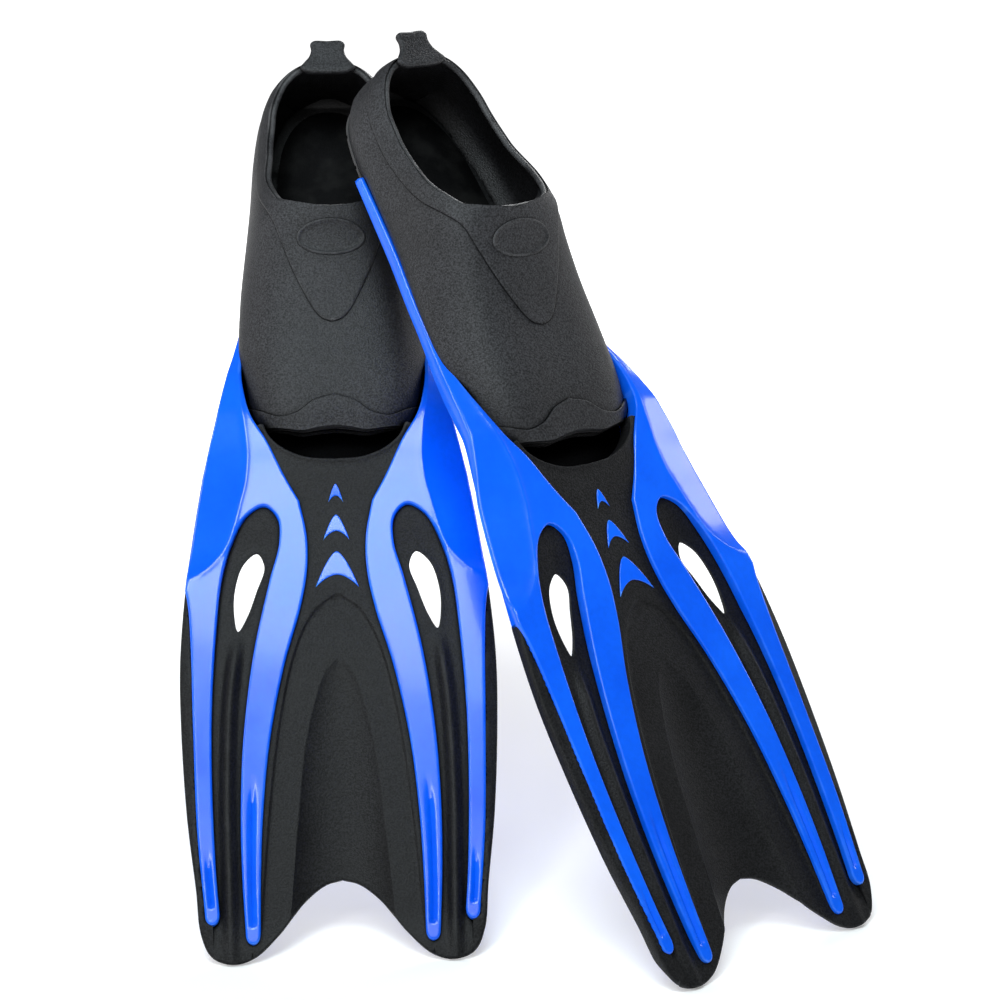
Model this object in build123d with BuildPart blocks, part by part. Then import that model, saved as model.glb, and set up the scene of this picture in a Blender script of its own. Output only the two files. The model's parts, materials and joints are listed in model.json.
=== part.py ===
from build123d import *
import os
from math import radians, tan

# A pair of full-foot swim fins, in millimetres.
# Each fin is drawn in its own frame: x across the blade, y from the blade tips towards the heel,
# z out of the top of the blade. The blade web's top face is z = 0 and its tips lie at y = 0.

# ---------------------------------------------------------------- driving dimensions
NECK_Y = 314.0            # where the blade flexes against the foot pocket
NECK_Z = -3.0             # height of that flexing line
NECK_GAP = 0.35           # half the clearance on the flexing line
FLEX_ANGLE = 15.0         # how far the blade flexes each way, degrees
NOSE_RADIUS = 3.4         # round nose of each rib, that turns about the flexing line
NOSE_START = 40.0         # its inner end, from the fin's middle
NOSE_LENGTH = 38.0
WEB = 3.6                 # thickness of the black blade panels
RIB_TOP = 2.0             # height of the blue ribs above the web
RIB_BOTTOM = -7.0         # underside of the blue ribs
EDGE_TOP = 1.2            # top of the soft edge trims
EDGE_BOTTOM = -8.0        # underside of the soft edge trims
BLADE_HALF = 98.0         # half of the blade's greatest width
WALL = 3.4                # wall of the foot pocket
FLOOR_WALL = 3.0          # thickness of the pocket's floor above the blue plate
LAYER = 1.3               # thickness of the mouldings laid into the pocket
TOE_RISE_Y = 388.0        # towards the toe from here the sole rises
TOE_RISE = 0.30           # by this much per millimetre
FOOTBED_THICK = 3.0
SOLE_SLOPE = 0.135        # the sole drops this much per millimetre towards the heel
SOLE_Y = 430.0            # reference station of the sole plane
SOLE_Z = -37.0            # height of the frame's underside at that station
PLATE = 3.0               # thickness of the blue plate under the foot
FOOTBED_LIFT = PLATE + FLOOR_WALL + 0.4   # height of the footbed above the sole plane
TREAD = 2.2               # how far the outsole stands below the plate
HEEL_Y = 615.5            # back of the heel
TAB_HINGE_Y = 616.4       # root line of the heel tab
TAB_HINGE_Z = -6.0
TAB_TOP_Y = 630.0
TAB_THICK = 4.0
TAB_TOP_HALF = 11.5
TAB_BASE_HALF = 16.0
TAB_CORNER = 4.0

# How the two fins stand: leaning back on their tips, the right one turned outwards.
LEFT_HEADING = 3.5
LEFT_LEAN = 38.2
RIGHT_HEADING = 38.0
RIGHT_LEAN = 35.3
RIGHT_OFFSET = (262.0, 8.0)   # the right fin's tip line from the left one's, along X and Y

os.makedirs("parts", exist_ok=True)


def station(y):
    """The plane across the fin at y; its sketch axes are the fin's x and z."""
    return Plane.XZ.offset(-y)


def sole_z(y):
    """Underside of the blue plate on the flat part of the sole."""
    return SOLE_Z - SOLE_SLOPE * (y - SOLE_Y)


# ---------------------------------------------------------------- blade plan
# Right half of the blade's outline, from the neck round the tip to the centre notch.
OUTLINE = [(84.5, 314), (89.5, 281), (94.5, 240), (BLADE_HALF, 190), (97.2, 145), (93.5, 90), (88, 45),
           (85, 18), (78.5, 4.5), (66, 0), (53, 3.5), (38, 17.5), (22, 38.5), (10, 48.5), (0, 51.5)]

# The blue Y-shaped rib: outer edge, teardrop between its fingers, inner edge.
RIB_OUTER = [(92, 316), (98, 268), (97, 246), (93.2, 226), (91.4, 200), (89.8, 145), (87.3, 81), (82.6, 30)]
RIB_TEARDROP = [(73.8, 30), (75.8, 54), (78.2, 110), (78.2, 160), (75.6, 208), (72, 243), (65.5, 267),
                (56, 285), (45, 291), (37, 283), (36, 266), (42, 242), (52.5, 193.5), (59, 140),
                (60.9, 95), (60.3, 54), (58.3, 18)]
RIB_INNER = [(49.4, 18), (48.9, 54), (47.4, 90), (42.9, 137), (33.5, 186), (23.4, 222), (18.8, 247),
             (18.6, 270), (23, 294), (34, 316)]

# Lines down the middle of the blue fingers, which part the black pieces at the tips.
INNER_SPLIT = [(54, -10), (54, 60), (51, 130), (40, 190), (28, 240), (27, 280), (32, 305), (40, 330)]
OUTER_SPLIT = [(78, -10), (78, 30), (82.5, 100), (83.5, 160), (83, 210), (78, 262)]

with BuildPart() as blade_blank:
    with BuildSketch(Plane.XY.offset(-20)):
        with BuildLine():
            Spline(OUTLINE, tangents=[(0.12, -1), (-1, 0)])
            Polyline((0, OUTLINE[-1][1]), (0, NECK_Y), OUTLINE[0])
        make_face()
        mirror(about=Plane.YZ)
    extrude(amount=40)

with BuildPart() as rib_blank:
    with BuildSketch(Plane.XY.offset(RIB_BOTTOM)):
        with BuildLine():
            Spline(RIB_OUTER)
            ThreePointArc(RIB_OUTER[-1], (78.2, 23), RIB_TEARDROP[0])
            Spline(RIB_TEARDROP)
            ThreePointArc(RIB_TEARDROP[-1], (53.8, 11), RIB_INNER[0])
            Spline(RIB_INNER)
            Line(RIB_INNER[-1], RIB_OUTER[0])
        make_face()
    extrude(amount=RIB_TOP - RIB_BOTTOM)
    add(blade_blank.part, mode=Mode.INTERSECT)


def flex_wedge(direction):
    """The room that one side of the neck leaves for the other, as a bow tie about the flexing line."""
    reach = 40
    spread = reach * tan(radians(FLEX_ANGLE / 2 + 1))
    edge = NECK_Y - direction * NECK_GAP
    with BuildPart() as wedge:
        with BuildSketch(Plane.YZ.offset(-120)):
            with BuildLine():
                Polyline((edge, NECK_Z), (edge - direction * spread, NECK_Z + reach),
                         (NECK_Y + direction * 60, NECK_Z + reach),
                         (NECK_Y + direction * 60, NECK_Z - reach),
                         (edge - direction * spread, NECK_Z - reach), close=True)
            make_face()
        extrude(amount=240)
    return wedge.part


def nose(room):
    """A round bar about the flexing line, larger by room all over."""
    with BuildPart() as bar:
        with BuildSketch(Plane.YZ.offset(NOSE_START - room)):
            with Locations((NECK_Y, NECK_Z)):
                Circle(NOSE_RADIUS + room)
        extrude(amount=NOSE_LENGTH + 2 * room)
    return bar.part


BLADE_SIDE_ROOM = flex_wedge(1)
FOOT_SIDE_ROOM = flex_wedge(-1)

with BuildPart() as nose_room:
    add(nose(NECK_GAP))
    mirror(about=Plane.YZ)

with BuildPart() as fork_right:
    add(rib_blank.part)
    add(BLADE_SIDE_ROOM, mode=Mode.SUBTRACT)
    add(nose(0))

with BuildPart() as fork_left:
    mirror(fork_right.part, about=Plane.YZ)

# ---------------------------------------------------------------- black blade pieces
# The see-through slot in each channel, and the rounded bead that runs from it to the tip.
VENT_OUTLINE = [(50, 261), (58.5, 254), (63.8, 238), (64.6, 222), (62.2, 209.6), (56.5, 219), (50.5, 236),
                (45.6, 252)]
BEAD_LINE = [(63, 205), (68, 150), (69, 100), (68, 50), (67, 13)]
BEAD_WIDTH = 6.5
BEAD_HEIGHT = 2.0
BEAD_TAPER = 30

with BuildPart() as channel_right:
    with BuildSketch(Plane.XY.offset(-WEB)):
        with BuildLine():
            Polyline(*INNER_SPLIT[:6], (45, 303), (62, 300), OUTER_SPLIT[-1])
            Polyline(*reversed(OUTER_SPLIT), INNER_SPLIT[0])
        make_face()
    extrude(amount=WEB)
    add(blade_blank.part, mode=Mode.INTERSECT)
    add(rib_blank.part, mode=Mode.SUBTRACT)
    with BuildSketch(Plane.XY.offset(-WEB)):
        with BuildLine():
            Spline(VENT_OUTLINE, periodic=True)
        make_face()
    extrude(amount=WEB, mode=Mode.SUBTRACT)
    with BuildSketch(Plane.XY):
        with BuildLine() as bead_line:
            Polyline(*BEAD_LINE)
        trace(bead_line.line, line_width=BEAD_WIDTH)
    extrude(amount=BEAD_HEIGHT, taper=BEAD_TAPER)

with BuildPart() as channel_left:
    mirror(channel_right.part, about=Plane.YZ)

with BuildPart() as edge_right:
    with BuildSketch(Plane.XY.offset(EDGE_BOTTOM)):
        with BuildLine():
            Polyline(*OUTER_SPLIT[:5], (84, 244), (110, 244), (110, -10), OUTER_SPLIT[0])
        make_face()
    extrude(amount=EDGE_TOP - EDGE_BOTTOM)
    add(blade_blank.part, mode=Mode.INTERSECT)
    add(rib_blank.part, mode=Mode.SUBTRACT)
    # Thin tip web between the finger's end and the channel.
    with Locations((66, 6, EDGE_BOTTOM)):
        Box(40, 36, -EDGE_BOTTOM - WEB, align=(Align.CENTER, Align.CENTER, Align.MIN), mode=Mode.SUBTRACT)

with BuildPart() as edge_left:
    mirror(edge_right.part, about=Plane.YZ)

# Three crescents, each an arc over a deeper arc: apex height, half span, leg drop and thickness.
CHEVRONS = [(305.5, 4.6, 12.0, 7.5), (285.0, 8.2, 17.0, 10.5), (260.3, 13.6, 24.0, 15.0)]
CHEVRON_DEPTH = 1.2

with BuildPart() as chevrons:
    with BuildSketch(Plane.XY.offset(-CHEVRON_DEPTH)):
        for apex, half_span, drop, thick in CHEVRONS:
            with BuildLine():
                Bezier((-half_span, apex - drop), (-half_span * 0.75, apex - drop * 0.35), (0, apex))
                Bezier((0, apex), (half_span * 0.75, apex - drop * 0.35), (half_span, apex - drop))
                Bezier((half_span, apex - drop), (0, apex + drop - 2 * thick), (-half_span, apex - drop))
            make_face()
    extrude(amount=CHEVRON_DEPTH)

SCOOP_RADIUS = 19.5
SCOOP_START = 40.0        # station of the round cutter's near end
SCOOP_CENTRE = 18.0       # height of its axis there
SCOOP_SLOPE = 0.105       # rise of its axis per millimetre
SCOOP_LENGTH = 170.0

with BuildPart() as centre_panel:
    with BuildSketch(Plane.XY.offset(-WEB)):
        with BuildLine():
            Polyline(*INNER_SPLIT, (0, 330), (0, -10), INNER_SPLIT[0])
        make_face()
        mirror(about=Plane.YZ)
    extrude(amount=WEB)
    add(blade_blank.part, mode=Mode.INTERSECT)
    add(rib_blank.part, mode=Mode.SUBTRACT)
    add(fork_left.part, mode=Mode.SUBTRACT)
    add(BLADE_SIDE_ROOM, mode=Mode.SUBTRACT)
    add(chevrons.part, mode=Mode.SUBTRACT)
    # Shallow scoop that widens towards the notch.
    with BuildSketch(Plane((0, SCOOP_START, SCOOP_CENTRE), x_dir=(1, 0, 0), z_dir=(0, 1, SCOOP_SLOPE))):
        Circle(SCOOP_RADIUS)
    extrude(amount=SCOOP_LENGTH, mode=Mode.SUBTRACT)

# ---------------------------------------------------------------- blue sole frame
# Across-sections: y, outer half width, keel half width, underside, outer edge's underside and top,
# inner half width and inner top.
FRAME_SECTIONS = [
    (552, 50, 46, sole_z(552), sole_z(552) + 0.5, -46, 47, -46),
    (520, 52, 48, sole_z(520), sole_z(520) + 0.5, -40.5, 49, -40.5),
    (490, 54, 50, sole_z(490), sole_z(490) + 0.5, -36, 51, -36),
    (460, 57, 52, sole_z(460), sole_z(460) + 0.5, -32, 54, -32),
    (430, 60, 54, sole_z(430), sole_z(430) + 1, -27, 57, -26),
    (405, 65, 54, sole_z(405), -30, -20, 58.5, -17),
    (388, 69, 52, sole_z(388), -24, -13, 59.5, -9),
    (370, 72.5, 49, -27.5, -17, -7, 57.5, -2),
    (354, 75.5, 46, -23, -11, -1.5, 53.5, 2),
    (335, 79.8, 42, -15.5, -8, 1, 43, 3),
    (310, 85, 36, -8.5, -7.5, 2, 31, 2),
]

with BuildPart() as sole_frame:
    for y, outer, keel, bottom, edge_bottom, edge_top, inner, inner_top in FRAME_SECTIONS:
        with BuildSketch(station(y)):
            with BuildLine():
                Polyline((keel - 2, bottom + PLATE), (inner, inner_top), (outer, edge_top),
                         (outer, edge_bottom), (keel, bottom), (-keel, bottom), (-outer, edge_bottom),
                         (-outer, edge_top), (-inner, inner_top), (2 - keel, bottom + PLATE), close=True)
            make_face()
    loft(ruled=True)
    add(FOOT_SIDE_ROOM, mode=Mode.SUBTRACT)
    add(nose_room.part, mode=Mode.SUBTRACT)

# ---------------------------------------------------------------- foot pocket
# Across-sections of the pocket's outside: y, half width and its height, a second point on the wall
# and the crown. Behind the instep the crown is above the opening and is cut away.
POCKET_SECTIONS = [
    (341, 47, -10, 36, -1.5, 1.5),
    (356, 54.5, -12, 40, 1.5, 5),
    (372, 58.5, -15, 43, 3, 7),
    (390, 60.8, -17, 44, 3.5, 8.5),
    (413, 61.5, -19, 44, 4.5, 10),
    (440, 60.5, -22, 43, 7, 14.5),
    (469, 58, -24, 41, 13, 21.5),
    (487, 56, -26, 40, 17.5, 28),
    (515, 53.5, -30, 41, 10, 34),
    (545, 52, -34, 40.5, -4, 24),
    (575, 48.5, -38, 38.5, -9.5, 12),
    (594, 42, -38, 33.5, -9.7, 5),
    (606, 33, -38, 26, -9.5, 0),
    (612.5, 22.5, -37, 17, -10, -3),
    (HEEL_Y, 10, -36, 7, -14, -9),
]


def pocket_section(y, half, widest, shoulder, shoulder_z, crown, inset):
    """One closed section of the pocket, drawn inset from its outside."""
    if y > 575:
        y = y - inset * (y - 575) / (HEEL_Y - 575)
    floor = sole_z(y)
    if y < TOE_RISE_Y:
        floor = sole_z(TOE_RISE_Y) + TOE_RISE * (TOE_RISE_Y - y)
    if y > 606:
        floor += (y - 606) ** 2 / 14
    floor += inset * (PLATE + FLOOR_WALL) / WALL
    base = half - 9 - inset
    if y > 606:
        base = max(half * 0.55 - inset, 2)
    with BuildSketch(station(y)) as section:
        with BuildLine():
            Line((-base, floor), (base, floor))
            Spline((base, floor), (half - inset, widest), (shoulder - inset * 0.8, shoulder_z - inset * 0.6),
                   (0, crown - inset), (-shoulder + inset * 0.8, shoulder_z - inset * 0.6),
                   (-half + inset, widest), (-base, floor))
        make_face()
    return section.sketch


def pocket_solid(inset):
    """The pocket's whole volume, inset from its outside."""
    with BuildPart() as solid:
        for row in POCKET_SECTIONS:
            add(pocket_section(*row, inset))
        loft(ruled=True)
    return solid.part


POCKET_OUTSIDE = pocket_solid(0)
POCKET_UNDER_LAYER = pocket_solid(LAYER)
POCKET_INSIDE = pocket_solid(WALL)

# Side view of the opening's edge, from the instep to the heel.
RIM_LINE = [(487, 28.5), (495, 22.5), (505, 16.5), (515, 10), (530, 2), (545, -4), (560, -7.5), (578, -9.5),
            (600, -9), (625, -6.5)]


def above_rim(lower):
    """Everything above the opening's edge, lowered by a distance square to it."""
    shift = [(y - lower * 0.62 if y < 560 else y, z - lower * (0.8 if y < 560 else 1.0)) for y, z in RIM_LINE]
    with BuildPart() as region:
        with BuildSketch(Plane.YZ.offset(-80)):
            with BuildLine():
                Spline(shift)
                Polyline(shift[-1], (660, shift[-1][1]), (660, 90), (shift[0][0], 90), shift[0])
            make_face()
        extrude(amount=160)
    return region.part


RIM_BEAD_DEPTH = 2.6
COLLAR_DEPTH = 11.0
OPENING = above_rim(0)
BEAD_ZONE = above_rim(RIM_BEAD_DEPTH)
COLLAR_ZONE = above_rim(COLLAR_DEPTH)

# The collar's tongue down the instep, the blank badge and the toe moulding, as upright prisms.
TONGUE = [(0, 414.2), (6, 416), (11, 421), (18, 433.5), (25.5, 450), (33, 470.5), (38, 484.5), (40, 499)]
with BuildPart() as tongue_zone:
    with BuildSketch(Plane.XY.offset(-8)):
        with BuildLine():
            Polyline(*TONGUE, (0, TONGUE[-1][1]), TONGUE[0])
        make_face()
        mirror(about=Plane.YZ)
    extrude(amount=60)

BADGE_Y = 468.5
BADGE_HALF_WIDTH = 22.5
BADGE_HALF_HEIGHT = 11.5
with BuildPart() as badge_zone:
    with BuildSketch(Plane((0, BADGE_Y, 0))):
        Ellipse(BADGE_HALF_WIDTH, BADGE_HALF_HEIGHT)
    extrude(amount=60)

WAVE = [(0, 365), (12, 361.5), (24, 353.5), (34, 351), (46, 357), (66, 368)]
with BuildPart() as toe_zone:
    with BuildSketch(Plane.XY.offset(-8)):
        with BuildLine():
            Spline(WAVE, tangents=[(1, 0), (1, 0.6)])
            Polyline(WAVE[-1], (66, 330), (0, 330), WAVE[0])
        make_face()
        mirror(about=Plane.YZ)
    extrude(amount=40)

with BuildPart() as shell:
    add(POCKET_OUTSIDE)
    add(POCKET_INSIDE, mode=Mode.SUBTRACT)
    add(OPENING, mode=Mode.SUBTRACT)
    add(sole_frame.part, mode=Mode.SUBTRACT)

with BuildPart() as rim_bead:
    add(shell.part)
    add(BEAD_ZONE, mode=Mode.INTERSECT)

with BuildPart() as outer_layer:
    add(shell.part)
    add(POCKET_UNDER_LAYER, mode=Mode.SUBTRACT)
    add(BEAD_ZONE, mode=Mode.SUBTRACT)

with BuildPart() as badge:
    add(outer_layer.part)
    add(badge_zone.part, mode=Mode.INTERSECT)

with BuildPart() as tongue:
    add(outer_layer.part)
    add(tongue_zone.part, mode=Mode.INTERSECT)

with BuildPart() as collar:
    add(outer_layer.part)
    add(COLLAR_ZONE, mode=Mode.INTERSECT)
    add(tongue.part)
    add(badge.part, mode=Mode.SUBTRACT)

with BuildPart() as toe_band:
    add(outer_layer.part)
    add(toe_zone.part, mode=Mode.INTERSECT)

with BuildPart() as foot_pocket:
    add(shell.part)
    add(rim_bead.part, mode=Mode.SUBTRACT)
    add(badge.part, mode=Mode.SUBTRACT)
    add(collar.part, mode=Mode.SUBTRACT)
    add(toe_band.part, mode=Mode.SUBTRACT)


def sole_slab(start, end, low, high):
    """A slab across the whole sole, between two heights above the sole plane."""
    with BuildPart() as slab:
        with BuildSketch(Plane.YZ.offset(-60)):
            with BuildLine():
                Polyline((start, sole_z(start) + low), (end, sole_z(end) + low), (end, sole_z(end) + high),
                         (start, sole_z(start) + high), close=True)
            make_face()
        extrude(amount=120)
    return slab.part


FOOTBED_PLAN = [(0, 600), (13, 597), (25, 585), (32, 568), (35, 545), (36, 500), (40, 450), (41, 428),
                (35, 412), (20, 405.5), (0, 404)]
with BuildPart() as footbed:
    with BuildSketch(Plane.XY.offset(-80)):
        with BuildLine():
            Spline(FOOTBED_PLAN, tangents=[(1, 0), (-1, 0)])
            Line(FOOTBED_PLAN[-1], FOOTBED_PLAN[0])
        make_face()
    extrude(amount=70)
    add(sole_slab(380, 610, FOOTBED_LIFT, FOOTBED_LIFT + FOOTBED_THICK), mode=Mode.INTERSECT)
    mirror(about=Plane.YZ)

# ---------------------------------------------------------------- outsole
OUTSOLE_PLAN = [(0, 614), (13, 612.5), (25, 605), (34, 594), (40, 575), (43, 545), (42, 500), (45, 450),
                (43, 415), (34, 397), (18, 389.5), (0, 388)]
GROOVE_START = 404
GROOVE_PITCH = 23
GROOVES = 9
GROOVE_WIDTH = 2.5
GROOVE_HEIGHT = 2.4       # half of it stands in the tread
with BuildPart() as outsole:
    with BuildSketch(Plane.XY.offset(-80)):
        with BuildLine():
            Spline(OUTSOLE_PLAN, tangents=[(1, 0), (-1, 0)])
            Line(OUTSOLE_PLAN[-1], OUTSOLE_PLAN[0])
        make_face()
    extrude(amount=70)
    add(sole_slab(380, 625, -TREAD, 0), mode=Mode.INTERSECT)
    mirror(about=Plane.YZ)
    # Cross grooves of the tread.
    for groove in range(GROOVES):
        y = GROOVE_START + GROOVE_PITCH * groove
        with BuildSketch(station(y)):
            with Locations((0, sole_z(y) - TREAD)):
                Rectangle(120, GROOVE_HEIGHT)
        extrude(amount=GROOVE_WIDTH, mode=Mode.SUBTRACT)

# ---------------------------------------------------------------- toe bridge, the surround of the toe vent
BRIDGE_PLAN = [(30, 308), (43, 335), (46.2, 340.7)]
VENT_SMILE = [(0, 322.5), (18, 324), (32, 330), (41, 338), (45.5, 347)]
with BuildPart() as toe_bridge:
    with BuildSketch(Plane.XY.offset(-25)):
        with BuildLine():
            Polyline((0, 308), *BRIDGE_PLAN, (0, BRIDGE_PLAN[-1][1]), close=True)
        make_face()
        mirror(about=Plane.YZ)
    extrude(amount=25)
    with BuildSketch(Plane.XY.offset(-25)):
        with BuildLine():
            Spline(VENT_SMILE, tangents=[(1, 0), (0.2, 1)])
            Polyline(VENT_SMILE[-1], (45.5, 360), (0, 360), VENT_SMILE[0])
        make_face()
        mirror(about=Plane.YZ)
    extrude(amount=30, mode=Mode.SUBTRACT)
    # Nothing of the bridge stands below the plate that it rests on.
    with BuildSketch(Plane.YZ.offset(-60)):
        with BuildLine():
            Polyline((300, -7.5), (310, -7.5), (335, -14), (350, -20), (350, -40), (300, -40), close=True)
        make_face()
    extrude(amount=120, mode=Mode.SUBTRACT)
    add(sole_frame.part, mode=Mode.SUBTRACT)
    add(FOOT_SIDE_ROOM, mode=Mode.SUBTRACT)
    add(nose_room.part, mode=Mode.SUBTRACT)

# ---------------------------------------------------------------- heel tab
with BuildPart() as heel_tab:
    with BuildSketch(Plane.XY.offset(TAB_HINGE_Z - TAB_THICK / 2)):
        with BuildLine():
            Polyline((TAB_BASE_HALF, TAB_HINGE_Y), (TAB_TOP_HALF + 1, TAB_HINGE_Y + 7),
                     (TAB_TOP_HALF, TAB_TOP_Y), (-TAB_TOP_HALF, TAB_TOP_Y),
                     (-TAB_TOP_HALF - 1, TAB_HINGE_Y + 7), (-TAB_BASE_HALF, TAB_HINGE_Y), close=True)
        make_face()
    extrude(amount=TAB_THICK)
    fillet(heel_tab.edges().filter_by(Axis.Z).group_by(Axis.Y)[-1], radius=TAB_CORNER)
    with BuildSketch(Plane.YZ.offset(-TAB_BASE_HALF)):
        with Locations((TAB_HINGE_Y, TAB_HINGE_Z)):
            Circle(TAB_THICK / 2)
    extrude(amount=2 * TAB_BASE_HALF)

# ---------------------------------------------------------------- placing and writing
PIECES = {
    "foot_pocket": foot_pocket, "collar": collar, "rim_bead": rim_bead, "badge": badge,
    "toe_band": toe_band, "footbed": footbed, "outsole": outsole, "heel_tab": heel_tab,
    "sole_frame": sole_frame, "toe_bridge": toe_bridge, "centre_panel": centre_panel,
    "fork_left": fork_left, "fork_right": fork_right, "channel_left": channel_left,
    "channel_right": channel_right, "edge_left": edge_left, "edge_right": edge_right,
    "chevrons": chevrons,
}


def standing(heading, lean, offset):
    """A fin on its tips, leaning back by lean and turned by heading."""
    return Location((offset[0], offset[1], 0)) * Rotation(0, 0, heading) * Rotation(90 - lean, 0, 0)


def bounds(location):
    return Compound([piece.part.moved(location) for piece in PIECES.values()]).bounding_box()


PLACES = {
    "left": standing(LEFT_HEADING, LEFT_LEAN, (0, 0)),
    "right": standing(RIGHT_HEADING, RIGHT_LEAN, RIGHT_OFFSET),
}
boxes = {side: bounds(place) for side, place in PLACES.items()}
middle_x = (min(box.min.X for box in boxes.values()) + max(box.max.X for box in boxes.values())) / 2
middle_y = (min(box.min.Y for box in boxes.values()) + max(box.max.Y for box in boxes.values())) / 2

for side, place in PLACES.items():
    on_floor = Location((-middle_x, -middle_y, -boxes[side].min.Z)) * place
    for name, piece in PIECES.items():
        placed = piece.part.moved(on_floor)
        placed.label = f"{side}_{name}"
        export_step(placed, f"parts/{side}_{name}.step")
    neck = on_floor * Location((0, NECK_Y, NECK_Z))
    root = on_floor * Location((0, TAB_HINGE_Y, TAB_HINGE_Z))
    print(side, "origin", on_floor.position, "flexes at", neck.position, "tab root", root.position)
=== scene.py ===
"""A pair of swim fins standing on their tips: soft foot pockets, flexible blades and blue Y-shaped ribs.

Every piece is worked out in its fin's own axes, in millimetres: x across, y from the tips to the heel,
z out of the blade's upper side. The flexing axes in the frame then place the fin in the row frame.
Both fins use the same pieces. Most are drawn for x > 0 and mirrored.
"""
import json
from math import atan2, cos, pi, radians, sin

import bmesh
import bpy
import numpy as np
from mathutils import Matrix, Vector
from mathutils.geometry import delaunay_2d_cdt


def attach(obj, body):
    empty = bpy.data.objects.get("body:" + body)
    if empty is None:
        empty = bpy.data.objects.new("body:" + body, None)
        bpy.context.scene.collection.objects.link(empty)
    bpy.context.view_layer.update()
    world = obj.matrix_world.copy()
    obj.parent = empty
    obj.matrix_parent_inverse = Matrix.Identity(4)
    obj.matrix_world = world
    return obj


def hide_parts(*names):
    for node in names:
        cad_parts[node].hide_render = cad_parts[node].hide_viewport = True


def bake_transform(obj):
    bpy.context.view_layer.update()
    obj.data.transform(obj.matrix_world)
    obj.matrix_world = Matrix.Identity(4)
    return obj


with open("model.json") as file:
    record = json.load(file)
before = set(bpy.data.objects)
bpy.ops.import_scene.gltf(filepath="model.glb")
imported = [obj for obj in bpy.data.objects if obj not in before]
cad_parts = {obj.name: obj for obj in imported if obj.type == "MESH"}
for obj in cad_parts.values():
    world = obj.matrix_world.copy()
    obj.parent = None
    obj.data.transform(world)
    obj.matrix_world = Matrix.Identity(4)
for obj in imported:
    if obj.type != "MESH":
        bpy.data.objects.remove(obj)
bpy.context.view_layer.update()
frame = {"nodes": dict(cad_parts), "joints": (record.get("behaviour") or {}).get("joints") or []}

SIDES = ("left", "right")
MM = 0.001

# ---- dimensions
NECK = (314.0, -3.0)  # y and z of the line where the blade flexes
TAB_ROOT = (616.4, -6.0)  # y and z of the line where the heel tab bends
BLEND_START = 334.0  # y where the blade starts to bend away from the foot
BLEND_END = 210.0  # y where the bend is complete
TAB_START = 611.0  # the same two for the heel tab
TAB_END = 622.0

# Lines of the blade seen from above, as x and y of the right half.
OUTLINE = [(84.5, 314), (89.5, 281), (94.5, 240), (98, 190), (97.2, 145), (93.5, 90), (88, 45),
           (85, 18), (78.5, 4.5), (66, 0), (53, 3.5), (38, 17.5), (22, 38.5), (10, 48.5), (0, 51.5)]
RIB_OUTER = [(98, 268), (97, 246), (93.2, 226), (91.4, 200), (89.8, 145), (87.3, 81), (82.6, 30)]
RIB_TEARDROP = [(73.8, 30), (75.8, 54), (78.2, 110), (78.2, 160), (75.6, 208), (72, 243), (65.5, 267),
                (56, 285), (45, 291), (37, 283), (36, 266), (42, 242), (52.5, 193.5), (59, 140),
                (60.9, 95), (60.3, 54), (58.3, 18)]
RIB_INNER = [(49.4, 18), (48.9, 54), (47.4, 90), (42.9, 137), (33.5, 186), (23.4, 222), (18.8, 247),
             (18.6, 270), (23, 294)]
FINGER_END_OUTER = [(82.6, 30), (82.2, 27), (80.8, 24.5), (78.2, 23.3), (75.6, 24.5), (74.2, 27), (73.8, 30)]
FINGER_END_INNER = [(58.3, 18), (57.9, 14.8), (56.4, 12.1), (53.8, 11), (51.2, 12.1), (49.8, 14.8),
                    (49.4, 18)]
INNER_SPLIT = [(54, -10), (54, 60), (51, 130), (40, 190), (28, 240), (27, 280), (32, 305)]
OUTER_SPLIT = [(78, -10), (78, 30), (82.5, 100), (83.5, 160), (83, 210), (80, 262)]
VENT = [(50, 261), (58.5, 254), (63.8, 238), (64.6, 222), (62.2, 209.6), (56.5, 219), (50.5, 236),
        (45.6, 252)]
CHANNEL_END = [(27, 281), (36, 300), (56, 303), (75, 285), (80, 264)]
BEAD_LINE = [(63, 205), (68, 150), (69, 100), (68, 50), (67, 0)]
VENT_SMILE = [(0, 322.5), (18, 324), (32, 330), (41, 338), (45.5, 347)]
NECK_EDGE = [(45.5, 347), (50, 346), (47.5, 335), (40, 318), (32, 305)]
TOE_FLOOR = [(0, 314), (34, 314), (46, 334), (51, 347), (53, 362), (0, 362)]
INNER_SEAM = 54.0  # x where the centre web meets the channel at the tip
OUTER_SEAM = 78.0  # x where the channel meets the edge at the tip

# x of a line for a given y.
SHOULDER_CREASE = [(243, 90), (250, 80), (264, 69), (280, 63.5), (294, 60), (310, 56.5), (326, 55.5),
                   (345, 57), (365, 60), (390, 61.5), (405, 60.8), (430, 57.6), (552, 47.6)]
INNER_GROOVE = [(16, 53.8), (54, 54.6), (92, 54.2), (118, 52.8)]
OUTER_GROOVE = [(28, 78.2), (54, 80.3), (90, 82.2)]
INNER_GROOVE_HALF = 2.7  # half widths of the two grooves
OUTER_GROOVE_HALF = 2.3
SCOOP_HALF = [(20, 32), (50, 29.5), (87, 26), (131, 21.5), (169, 13), (182, 8), (190, 0.01)]
SHELF_HALF = [(10, 50), (37, 48), (70, 45.5), (118, 41), (163, 34.5), (198, 26), (222, 14), (233, 0.01)]
CHEVRONS = [  # y of the apex, half width, drop of the horns, thickness at the middle
    (305.5, 4.6, 12, 7.8), (285, 8.2, 17, 11), (260.3, 13.6, 24, 15.6)]

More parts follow.
